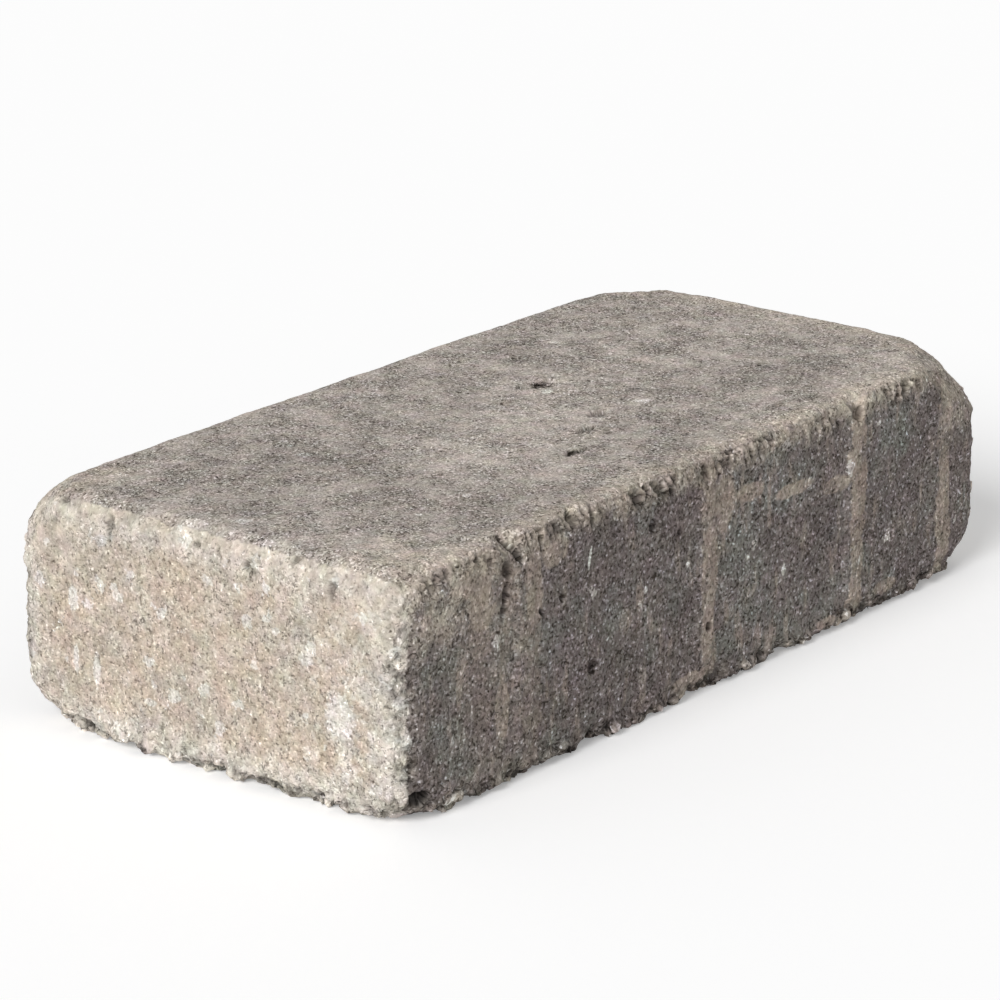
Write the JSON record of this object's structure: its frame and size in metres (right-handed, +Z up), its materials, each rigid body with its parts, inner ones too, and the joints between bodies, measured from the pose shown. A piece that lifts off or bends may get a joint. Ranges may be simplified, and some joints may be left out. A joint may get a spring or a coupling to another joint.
{
  "type": "concrete paver",
  "caption": "Tumbled rectangular concrete paver with worn arrises, struck corners, chipped edges and low spacer ribs on both long sides.",
  "frame": {"origin": "middle of the bed face, where the paver rests", "axes": "+X along the length, +Y across the width, +Z up from the bed to the worn top"},
  "size_m": [0.1778, 0.0888, 0.0444],
  "materials": {
    "concrete": "cast and tumbled, rough and matt"
  },
  "bodies": {
    "root": {"paver": "concrete"}
  },
  "joints": []
}
